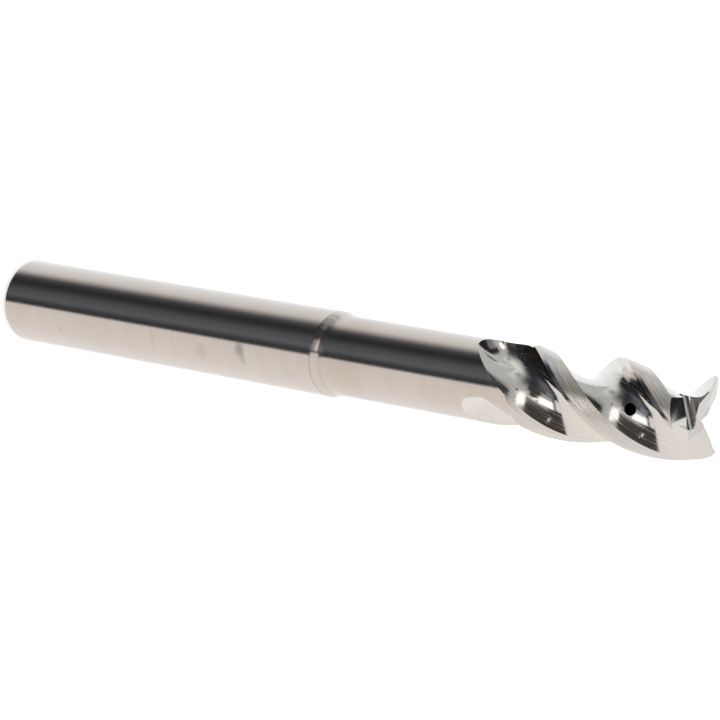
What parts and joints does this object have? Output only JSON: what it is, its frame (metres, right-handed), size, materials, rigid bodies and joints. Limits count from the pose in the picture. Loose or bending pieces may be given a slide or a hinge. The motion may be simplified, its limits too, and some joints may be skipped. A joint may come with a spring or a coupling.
{
  "type": "corner radius end mill",
  "caption": "Long-neck solid carbide corner radius end mill with helical flutes, gashed end teeth, coolant outlets and a plain round shank.",
  "frame": {"origin": "centre of the shank's flat end", "axes": "+Z along the tool's axis from the shank end towards the cutting end; +X and +Y across the axis, with the first tooth's corner at 70.5 degrees clockwise from +X as seen from the tip"},
  "size_m": [0.012, 0.012, 0.125],
  "materials": {
    "ground_carbide": "bright ground and polished solid carbide, uncoated"
  },
  "bodies": {
    "root": {"end_mill": "ground_carbide"}
  },
  "joints": []
}
